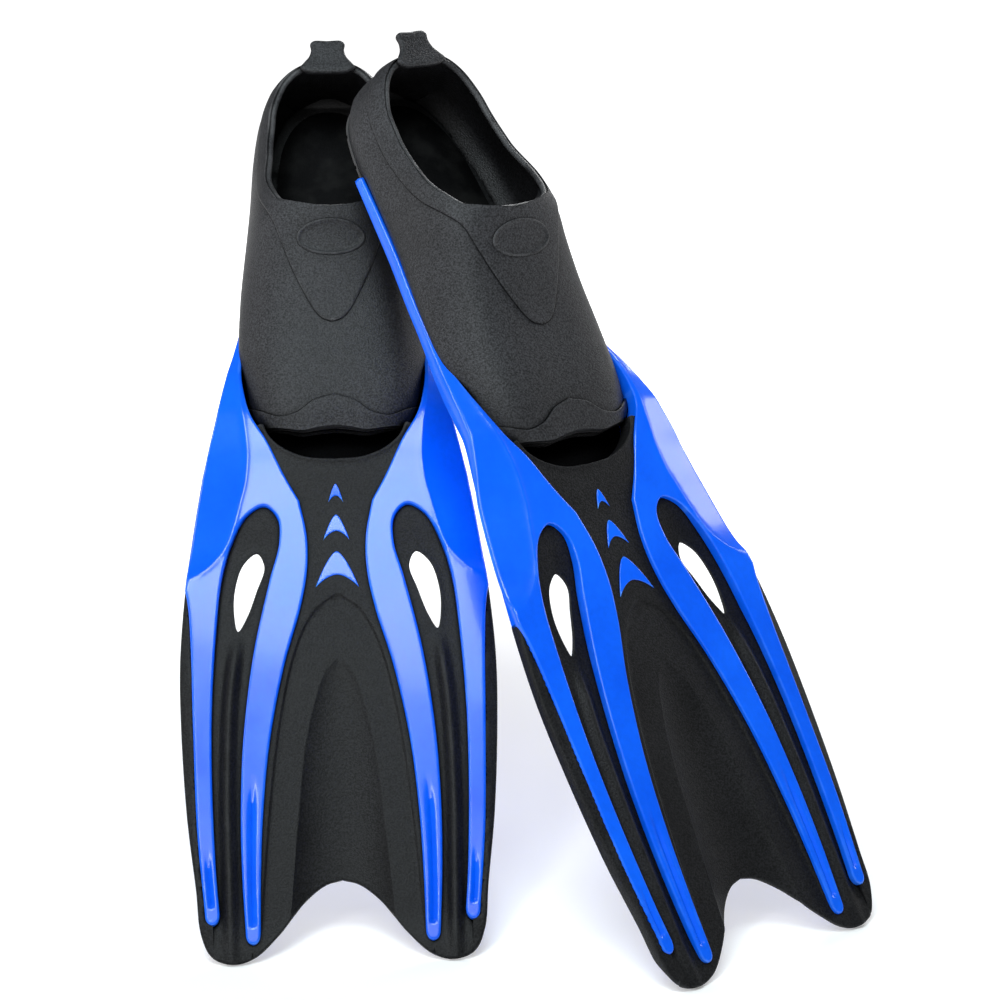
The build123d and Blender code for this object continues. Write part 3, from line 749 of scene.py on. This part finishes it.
def shell():
    """The pocket's outer and inner skins, joined round the foot opening and round the toe opening."""
    tops = np.array([rim_share(y) for y in ROWS])
    u = tops[:, None] * np.linspace(0, 1, ACROSS + 1)[None]
    y = np.repeat(ROWS[:, None], ACROSS + 1, 1)
    outer = skin(y, u)
    normal = skin_normal(y, u)
    inner = outer - normal * WALL
    inner[..., 0] = np.maximum(inner[..., 0], 0)
    inner[outer[..., 0] < 1e-6, 0] = 0
    for k, pinch in enumerate((0.7, 0.25, 0.0)):
        outer[k] -= normal[k] * pinch
        inner[k] += normal[k] * pinch
    outer = with_lip(outer)
    inner = with_lip(inner)
    outer = np.vstack([outer, outer[-1:] * [0, 1, 1] + [0, 0.8, 0]])
    inner = np.vstack([inner, inner[-1:] * [0, 1, 1]])
    rows, cols = outer.shape[:2]
    verts = np.vstack([outer.reshape(-1, 3), inner.reshape(-1, 3)])
    base = rows * cols

    def at(i, j, layer=0):
        return i * cols + j + base * layer

    faces = []
    for i in range(rows - 1):
        for j in range(cols - 1):
            faces.append((at(i, j), at(i + 1, j), at(i + 1, j + 1), at(i, j + 1)))
            faces.append((at(i, j, 1), at(i, j + 1, 1), at(i + 1, j + 1, 1), at(i + 1, j, 1)))
    for j in range(cols - 1):
        faces.append((at(0, j), at(0, j, 1), at(0, j + 1, 1), at(0, j + 1)))
    first = int(np.argmin(np.abs(ROWS - THROAT)))
    for i in range(first, rows - 1):
        faces.append((at(i, cols - 1), at(i, cols - 1, 1), at(i + 1, cols - 1, 1), at(i + 1, cols - 1)))
    half_part = (verts, faces)
    return welded(together(half_part, mirrored(half_part)))


def toe_floor():
    """The rubber under the toe vent, which closes the pocket towards the blade."""
    return plate(split_loop(straight(TOE_FLOOR, 2)),
                 lambda x, y, d: -7.4 - 0.30 * (y - 320),
                 lambda x, y, d: -9.4 - 0.30 * (y - 320),
                 grid=5, rings=(0.5, 2))


def tube(path, radius, around=12):
    """A closed round bead along a closed path."""
    n = len(path)
    tangent = np.roll(path, -1, 0) - np.roll(path, 1, 0)
    tangent /= np.linalg.norm(tangent, axis=1)[:, None]
    side_way = np.cross(tangent, [0, 0, 1.0])
    side_way /= np.linalg.norm(side_way, axis=1)[:, None]
    lift = np.cross(side_way, tangent)
    verts = []
    for k in range(around):
        a = 2 * pi * k / around
        verts.append(path + (side_way * cos(a) + lift * sin(a)) * radius)
    verts = np.stack(verts, 1).reshape(-1, 3)
    faces = []
    for i in range(n):
        for k in range(around):
            i2, k2 = (i + 1) % n, (k + 1) % around
            faces.append((i * around + k, i * around + k2, i2 * around + k2, i2 * around + k))
    return verts, faces


def rim_path():
    """The closed line along the middle of the wall's edge at the opening."""
    rows = ROWS[ROWS >= 486.9]
    share = np.array([rim_share(y) for y in rows])
    p = lifted(rows, share, -WALL / 2)
    p[0, 0] = 0
    half = np.vstack([p, p[-1:] * [0, 1, 1] + [0, 0.5, 0]])
    return np.vstack([half, (half * [-1, 1, 1])[-2:0:-1]])


def resampled(path, step):
    """A closed path divided evenly."""
    closed = np.vstack([path, path[:1]])
    run = run_along(closed)
    return read_off(np.linspace(0, run[-1], int(run[-1] / step), endpoint=False), run, closed)


def collar():
    """The raised band round the opening and the tongue that runs from it towards the toe."""
    rows = np.concatenate([np.linspace(HEEL_END, HEEL_TURN, 9), np.linspace(603, 508, 46)])
    low = [(y, height_share(y, float(rim_z(y)) - COLLAR_DROP)) for y in rows]
    low += [(y, width_share(y, x)) for x, y in TONGUE[::-1]]
    low = np.array(low)
    scale = np.array([1, 100.0])
    side_count = len(rows)
    front = spline((low * scale)[side_count - 3:], 2.0) / scale
    line_a = np.vstack([low[:side_count - 3], front])
    rest = THROAT + 21 * np.linspace(1, 0, 16)[1:]**2
    high = [(y, rim_share(y)) for y in (*rows, *rest)]
    high += [(y, 1.0) for y in np.linspace(THROAT, TONGUE_TIP, 30)[1:]]
    high = np.array(high)

    def by_length(points, n):
        run = run_along(skin(*points.T))
        return read_off(np.linspace(0, run[-1], n), run, points)

    # Both edges are cut where the collar turns into the tongue, and each half is divided evenly.
    past_side = 100 * (np.arange(len(line_a)) < side_count - 6)
    cut_a = int(np.argmin(np.abs(line_a[:, 0] - COLLAR_CUT) + past_side))
    cut_b = side_count + len(rest) - 1
    a = np.vstack([by_length(line_a[:cut_a + 1], 90), by_length(line_a[cut_a:], 60)[1:]])
    b = np.vstack([by_length(high[:cut_b + 1], 90), by_length(high[cut_b:], 60)[1:]])
    gap = np.linalg.norm(skin(*a.T) - skin(*b.T), axis=1)
    steps = [(0.0, -0.35), (0.1, 0.6), (0.4, 1.1), (0.9, 1.3), (1.6, COLLAR_LIFT), (3.0, COLLAR_LIFT)]
    layers = [(np.minimum(d / (gap + 1e-6), d / 3.2), lift) for d, lift in steps]
    for share in np.linspace(0.2, 1, 9)[:-1]:
        layers.append((np.maximum(share, np.minimum(3.2 / (gap + 1e-6), 0.95)), COLLAR_LIFT))
    layers.append((np.ones_like(gap), COLLAR_LIFT))
    shares = np.maximum.accumulate(np.array([f for f, _ in layers]), 0)
    fade = np.minimum(1, gap / 2.0)
    rows_out = []
    for f, (_, lift) in zip(shares[:, :, None], layers):
        q = a * (1 - f) + b * f
        rows_out.append(lifted(*q.T, lift * np.where(lift > 0, fade, 1)))
    rows_out[-1][b[:, 1] > 0.999, 0] = 0
    for line in (b, a):
        buried = lifted(*line.T, -COLLAR_SINK)
        buried[line[:, 1] > 0.999, 0] = 0
        rows_out.append(buried)
    return closed_strip(np.array([np.vstack([r[:1] * [0, 1, 1] + [0, 0.8, 0], r]) for r in rows_out]))


def closed_strip(grid):
    """A solid from rows that run round its cross-section, joined to its mirror image."""
    m, n = grid.shape[:2]
    faces = []
    for k in range(m):
        for i in range(n - 1):
            k2 = (k + 1) % m
            faces.append((k * n + i, k2 * n + i, k2 * n + i + 1, k * n + i + 1))
    for i in (0, n - 1):
        faces.append(tuple(k * n + i for k in range(m)))
    half_part = (grid.reshape(-1, 3), faces)
    return welded(together(half_part, mirrored(half_part)))


def badge():
    """The blank oval pad on the instep, with a raised border."""
    middle, a, b = BADGE
    t = np.linspace(0, 2 * pi, 90, endpoint=False)
    loop = np.column_stack([a * np.cos(t), middle + b * np.sin(t)])

    def top(x, y, d):
        return top_z(x, y) + COLLAR_LIFT + 0.95 - rounding(d, 0.8) - 0.65 * ease((d - 1.6) / 0.8)

    return plate(loop, top, lambda x, y, d: top_z(x, y) + 0.2,
                 grid=2.4, rings=(0.1, 0.3, 0.7, 1.5, 2.0, 2.6))


wave = track(WAVE)


def toe_band():
    """The band across the toe end, ending at a wavy line on the upper side."""
    us = np.linspace(0.40, 1.0, 90)
    ends = np.empty(len(us))
    for k, u in enumerate(us):
        y = 360.0
        for _ in range(12):
            y = float(wave(skin(y, u)[0]))
        ends[k] = y
    toe = np.full(len(us), TOE_BAND_END)
    edge = np.minimum(1, (us - us[0]) / 0.01)
    rows = [(ends, -0.35), (ends - 0.1, 1.1), (ends - 0.45, 1.5), (ends - 1.0, BAND_LIFT)]
    rows += [(ends - 1.0 - (ends - 1.0 - TOE_BAND_END) * s / 11, BAND_LIFT) for s in range(1, 11)]
    rows.append((toe, -0.4))
    grid = [lifted(y, us, lift * np.where(lift > 0, edge, 1) - 0.35 * (1 - edge)) for y, lift in rows]
    grid += [lifted(y, us, -BAND_SINK) for y in (toe, ends)]
    grid = with_lip(np.array(grid))
    grid[:, -1, 0] = 0
    return closed_strip(grid)


def heel_tab():
    """The pull tab, rounded all round."""
    return plate(split_loop(spline(TAB, 1.0)),
                 lambda x, y, d: -4.2 - rounding(d, 1.7) + 0.5 * ease((616 - y) / 8),
                 lambda x, y, d: -8.4 + rounding(d, 1.7),
                 grid=1.8, rings=(0.1, 0.4, 0.9, 1.7))


# ---- materials
def settle(node, values):
    """Sets constants on a node's sockets."""
    for name, value in values.items():
        node.inputs[name].default_value = value


def ramp(tree, source, *stops):
    """A colour ramp between two stops of position and colour."""
    node = tree.nodes.new("ShaderNodeValToRGB")
    for element, (position, colour) in zip(node.color_ramp.elements, stops):
        element.position = position
        element.color = (*colour, 1)
    tree.links.new(source, node.inputs["Fac"])
    return node.outputs["Color"]


def noise(tree, coord, scale, detail, roughness=0.5):
    """The value of a noise texture."""
    node = tree.nodes.new("ShaderNodeTexNoise")
    settle(node, {"Scale": scale, "Detail": detail, "Roughness": roughness})
    tree.links.new(coord, node.inputs["Vector"])
    return node.outputs["Fac"]


def mixed(tree, kind, factor, a, b):
    """Two colours mixed, each given as a colour or as a socket."""
    node = tree.nodes.new("ShaderNodeMix")
    node.data_type = "RGBA"
    node.blend_type = kind
    if isinstance(factor, float):
        node.inputs[0].default_value = factor
    else:
        tree.links.new(factor, node.inputs[0])
    for socket, value in ((node.inputs[6], a), (node.inputs[7], b)):
        if isinstance(value, tuple):
            socket.default_value = (*value, 1)
        else:
            tree.links.new(value, socket)
    return node.outputs[2]


def mapped(tree, source, low, high, from_low=0.3, from_high=0.7):
    """A value moved from one range to another."""
    node = tree.nodes.new("ShaderNodeMapRange")
    settle(node, {"From Min": from_low, "From Max": from_high, "To Min": low, "To Max": high})
    tree.links.new(source, node.inputs["Value"])
    return node.outputs["Result"]


def painted_hollow_shade(tree, reach, darkest):
    """Painted shade: near 1 on open surfaces and down to darkest in creases, joins and hollows narrower than
    reach.
    """
    node = tree.nodes.new("ShaderNodeAmbientOcclusion")
    node.samples = 6
    settle(node, {"Distance": reach})
    return mapped(tree, node.outputs["AO"], darkest, 1.0, 0.45, 0.93)


def finish(name, dark, light, worn_edge_and_highlight, roughness, grain, height, speckle, coat=0.0, specular=0.5, hollow_shade=()):
    """A moulded finish: broad shade, fine grain or flow ripple, lighter edges that are partly wear and partly
    a painted highlight, and uneven gloss.

    dark and light are the ends of the broad shade, and the third colour is that of its edges, lighter partly
    from wear and partly as a painted highlight. grain is the fine noise's scale, height its bump in metres
    and speckle how much it changes the colour. The last argument holds pairs of reach and darkest shade for
    painted shade in creases and hollows, which also dims the gloss there.
    """
    mat = bpy.data.materials.new(name)
    mat.use_nodes = True
    tree = mat.node_tree
    shader = tree.nodes["Principled BSDF"]
    coord = tree.nodes.new("ShaderNodeTexCoord").outputs["Object"]
    broad = noise(tree, coord, 14, 4, 0.55)
    fine = noise(tree, coord, grain, 3, 0.6)
    colour = ramp(tree, broad, (0.35, dark), (0.65, light))
    shade = ramp(tree, fine, (0.38, (1 - speckle,) * 3), (0.62, (1 + speckle,) * 3))
    colour = mixed(tree, "MULTIPLY", 1.0, colour, shade)
    # Edges are lighter, partly as wear and partly as a painted highlight.
    edge = tree.nodes.new("ShaderNodeNewGeometry").outputs["Pointiness"]
    wear_and_highlight = ramp(tree, edge, (0.515, (0, 0, 0)), (0.60, (1, 1, 1)))
    patch = ramp(tree, noise(tree, coord, 60, 3), (0.42, (0.15,) * 3), (0.62, (1, 1, 1)))
    amount = mixed(tree, "MULTIPLY", 1.0, wear_and_highlight, patch)
    colour = mixed(tree, "MIX", amount, colour, worn_edge_and_highlight)
    # Painted shade: ambient occlusion darkens the colour in creases, joins and hollows, and the last pair
    # also dims the gloss there.
    for reach, darkest in hollow_shade:
        shade = painted_hollow_shade(tree, reach, darkest)
        colour = mixed(tree, "MULTIPLY", 1.0, colour, shade)
    if hollow_shade:
        tree.links.new(mapped(tree, shade, 0, specular), shader.inputs["Specular IOR Level"])
    tree.links.new(colour, shader.inputs["Base Color"])
    tree.links.new(mapped(tree, broad, *roughness), shader.inputs["Roughness"])
    bump = tree.nodes.new("ShaderNodeBump")
    settle(bump, {"Strength": 0.6, "Distance": height})
    tree.links.new(fine, bump.inputs["Height"])
    tree.links.new(bump.outputs["Normal"], shader.inputs["Normal"])
    settle(shader, {"Coat Weight": coat, "Coat Roughness": 0.06, "Specular IOR Level": specular})
    return mat


# Painted shade in hollows, as reach in metres and darkest shade: one pair for the pocket's deep inside, one
# for narrow creases and joins.
HOLLOW_SHADE = [(0.05, 0.12), (0.0035, 0.05)]
SOFT = dict(dark=(0.017, 0.017, 0.019), roughness=(0.42, 0.52), grain=900, height=0.0008, speckle=0.72,
            hollow_shade=HOLLOW_SHADE)
FINISHES = {
    "pocket_rubber": dict(
        light=(0.025, 0.025, 0.028), worn_edge_and_highlight=(0.055, 0.055, 0.06), specular=0.25, **SOFT),
    # Its edge colour is far lighter than the pocket's: a painted highlight along the rim bead and the
    # collar's edges.
    "trim_rubber": dict(
        light=(0.024, 0.024, 0.027), worn_edge_and_highlight=(0.15, 0.15, 0.155), specular=0.26, **SOFT),
    # Far darker than the other rubbers: painted shade for the footbed inside the pocket and for the floor
    # under the toe vent.
    "insole_rubber": dict(
        dark=(0.002, 0.002, 0.0024), light=(0.004, 0.004, 0.0046), worn_edge_and_highlight=(0.01, 0.01, 0.01),
        roughness=(0.6, 0.7), grain=900, height=0.0003, speckle=0.3, specular=0.05, hollow_shade=HOLLOW_SHADE[:1]),
    "sole_rubber": dict(
        dark=(0.018, 0.018, 0.020), light=(0.028, 0.028, 0.030), worn_edge_and_highlight=(0.06, 0.06, 0.062),
        roughness=(0.5, 0.62), grain=1100, height=0.0003, speckle=0.35),
    # Its last pair paints shade into the narrow joins beside the blue ribs.
    "blade_rubber": dict(
        dark=(0.0065, 0.0065, 0.007), light=(0.010, 0.010, 0.011), worn_edge_and_highlight=(0.04, 0.04, 0.043),
        roughness=(0.40, 0.50), grain=900, height=0.0006, speckle=0.65, specular=0.16,
        hollow_shade=[(0.004, 0.15)]),
    "blue_plastic": dict(
        dark=(0.000, 0.096, 0.84), light=(0.001, 0.126, 0.94), worn_edge_and_highlight=(0.10, 0.36, 0.97),
        roughness=(0.17, 0.26), grain=260, height=0.00002, speckle=0.03, coat=0.15, specular=0.38),
}
MATERIALS = {name: finish(name, **values) for name, values in FINISHES.items()}


# ---- placing the fins
def fin_matrix(side):
    """From the fin's own axes, in millimetres, to the row frame, in metres."""
    joints = {j["name"]: j for j in frame["joints"]}
    neck = Vector(joints[f"{side}_blade_flex"]["pos_m"])
    tab = Vector(joints[f"{side}_tab_flex"]["pos_m"])
    x = Vector(joints[f"{side}_blade_flex"]["axis"]).normalized()
    run = (tab - neck).normalized()
    across = x.cross(run).normalized()
    a = atan2(TAB_ROOT[1] - NECK[1], TAB_ROOT[0] - NECK[0])
    y = run * cos(a) - across * sin(a)
    z = run * sin(a) + across * cos(a)
    origin = neck - y * (NECK[0] * MM) - z * (NECK[1] * MM)
    rows = [[x[i] * MM, y[i] * MM, z[i] * MM, origin[i]] for i in range(3)]
    return Matrix(rows + [[0, 0, 0, 1]])


PLACE = {s: fin_matrix(s) for s in SIDES}


def piece(side, name, part, slot, replaced, body="foot", bend=None):
    """One piece of one fin, which rides its body, or, where it has a bend, stays fixed in the row frame."""
    verts, faces = part
    m = np.array(PLACE[side])
    world = verts @ m[:3, :3].T + m[:3, 3]
    mesh = bpy.data.meshes.new(f"{side}_{name}")
    mesh.from_pydata(world.tolist(), [], [tuple(int(i) for i in f) for f in faces])
    mesh.validate()
    work = bmesh.new()
    work.from_mesh(mesh)
    bmesh.ops.recalc_face_normals(work, faces=work.faces)
    work.to_mesh(mesh)
    work.free()
    mesh.polygons.foreach_set("use_smooth", [True] * len(mesh.polygons))
    mesh.set_sharp_from_angle(angle=radians(SMOOTH_ANGLE))
    mesh.update()
    mesh.materials.append(MATERIALS[slot])
    obj = bpy.data.objects.new(f"{side}_{name}", mesh)
    bpy.context.scene.collection.objects.link(obj)
    if bend:
        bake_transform(obj)
    else:
        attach(obj, f"{side}_{body}")
    if replaced:
        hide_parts(*[f"{side}_{n}" for n in replaced])


blade_bend = ("blade", BLEND_START, BLEND_END)
tab_bend = ("tab", TAB_START, TAB_END)
PIECES = [  # name, part, slot, the CAD pieces it replaces, and its bend
    ("pocket_shell", shell(), "pocket_rubber", ["foot_pocket"], None),
    ("vent_floor", toe_floor(), "insole_rubber", [], None),
    ("opening_collar", collar(), "trim_rubber", ["collar"], None),
    ("opening_rim", tube(resampled(rim_path(), 1.6), RIM_RADIUS), "trim_rubber", ["rim_bead"], None),
    ("instep_badge", badge(), "trim_rubber", ["badge"], None),
    ("toe_end_band", toe_band(), "pocket_rubber", ["toe_band"], None),
    ("blue_ribs", blue_frame, "blue_plastic", ["sole_frame", "fork_left", "fork_right"], blade_bend),
    ("centre_web", centre, "blade_rubber", ["toe_bridge", "centre_panel"], blade_bend),
    ("channel_web_right", channel, "blade_rubber", ["channel_right"], blade_bend),
    ("channel_web_left", mirrored(channel), "blade_rubber", ["channel_left"], blade_bend),
    ("blade_edge_right", edge_part, "blade_rubber", ["edge_right"], blade_bend),
    ("blade_edge_left", mirrored(edge_part), "blade_rubber", ["edge_left"], blade_bend),
    ("crescents", chevrons, "blue_plastic", ["chevrons"], blade_bend),
    ("pull_tab", heel_tab(), "pocket_rubber", ["heel_tab"], tab_bend),
]
for side_name in SIDES:
    for title, part, slot_name, nodes, bending in PIECES:
        piece(side_name, title, part, slot_name, nodes, bend=bending)
    for node, slot_name in (("footbed", "insole_rubber"), ("outsole", "sole_rubber")):
        cad = frame["nodes"][f"{side_name}_{node}"]
        cad.data.materials.clear()
        cad.data.materials.append(MATERIALS[slot_name])

# ---- floor, light and camera
FLOOR_HALF = 12.0
FLOOR_GLOW = (0.24, 1.0)  # the floor's own light near the fins and away from them
FLOOR_GLOW_REACH = (0.30, 1.0)  # distances, in metres, between which it grows
SKY_GLOW = 0.12  # the white room's light on the fins
WHITE = (1, 1, 1, 1)
CAMERA_PLACE = (-0.0163, -1.7263, 0.764)
CAMERA_TILT = 72.8  # degrees up from looking straight down
FOCAL_LENGTH = 101.9  # millimetres, on a sensor 36 wide

floor_mesh = bpy.data.meshes.new("studio_floor")
floor_mesh.from_pydata([(x * FLOOR_HALF, y * FLOOR_HALF, 0) for x, y in ((-1, -1), (1, -1), (1, 1), (-1, 1))],
                       [], [(0, 1, 2, 3)])
floor = bpy.data.objects.new("studio_floor", floor_mesh)
bpy.context.scene.collection.objects.link(floor)
floor_finish = bpy.data.materials.new("pale_floor")
floor_finish.use_nodes = True
floor_tree = floor_finish.node_tree
floor_shader = floor_tree.nodes["Principled BSDF"]
settle(floor_shader, {"Base Color": (0.80, 0.80, 0.80, 1), "Roughness": 0.9, "Specular IOR Level": 0.1,
                      "Emission Color": WHITE})
floor_place = floor_tree.nodes.new("ShaderNodeTexCoord").outputs["Object"]
floor_reach = floor_tree.nodes.new("ShaderNodeVectorMath")
floor_reach.operation = "LENGTH"
floor_tree.links.new(floor_place, floor_reach.inputs[0])
floor_tree.links.new(mapped(floor_tree, floor_reach.outputs["Value"], *FLOOR_GLOW, *FLOOR_GLOW_REACH),
                     floor_shader.inputs["Emission Strength"])
floor_mesh.materials.append(floor_finish)

# The camera sees a white room, which lights the fins only faintly.
world = bpy.data.worlds.new("studio")
bpy.context.scene.world = world
world.use_nodes = True
sky = world.node_tree
background = sky.nodes["Background"]
settle(background, {"Color": WHITE, "Strength": 1.0})
dim = sky.nodes.new("ShaderNodeBackground")
settle(dim, {"Color": WHITE, "Strength": SKY_GLOW})
path = sky.nodes.new("ShaderNodeLightPath")
either = sky.nodes.new("ShaderNodeMixShader")
sky.links.new(path.outputs["Is Camera Ray"], either.inputs[0])
sky.links.new(dim.outputs[0], either.inputs[1])
sky.links.new(background.outputs[0], either.inputs[2])
sky.links.new(either.outputs[0], sky.nodes["World Output"].inputs["Surface"])


def softbox(name, place, target, size, power, tint=(1, 1, 1)):
    """A rectangular light of a size in metres and a power in watts, turned towards a target."""
    light = bpy.data.lights.new(name, "AREA")
    light.color = tint
    light.shape = "RECTANGLE"
    light.size, light.size_y = size
    light.energy = power
    obj = bpy.data.objects.new(name, light)
    obj.location = place
    obj.rotation_euler = (Vector(target) - Vector(place)).to_track_quat("-Z", "Y").to_euler()
    bpy.context.scene.collection.objects.link(obj)


softbox("key", (-0.25, -0.85, 1.9), (-0.05, 0, 0.25), (0.95, 0.62), 25, (0.84, 0.97, 1.0))
softbox("front", (0.0, -1.5, 1.55), (0, -0.15, 0.1), (0.9, 0.4), 4)
softbox("ridge", (-0.55, -1.2, 1.3), (0, 0, 0.4), (0.22, 0.6), 6)
softbox("left", (-1.8, 0.0, 1.1), (0, 0, 0.4), (0.5, 1.0), 10)
softbox("right", (1.48, 0.78, 0.92), (0, 0, 0.3), (0.4, 0.7), 6)
softbox("back", (0.5, 1.6, 1.3), (0, 0, 0.2), (0.9, 0.9), 26)

lens = bpy.data.cameras.new("camera")
lens.lens = FOCAL_LENGTH
lens.sensor_width = 36
lens.clip_end = 60
camera = bpy.data.objects.new("camera", lens)
camera.location = CAMERA_PLACE
camera.rotation_euler = (radians(CAMERA_TILT), 0, 0)
bpy.context.scene.collection.objects.link(camera)
bpy.context.scene.camera = camera
bpy.context.scene.view_settings.view_transform = "Standard"
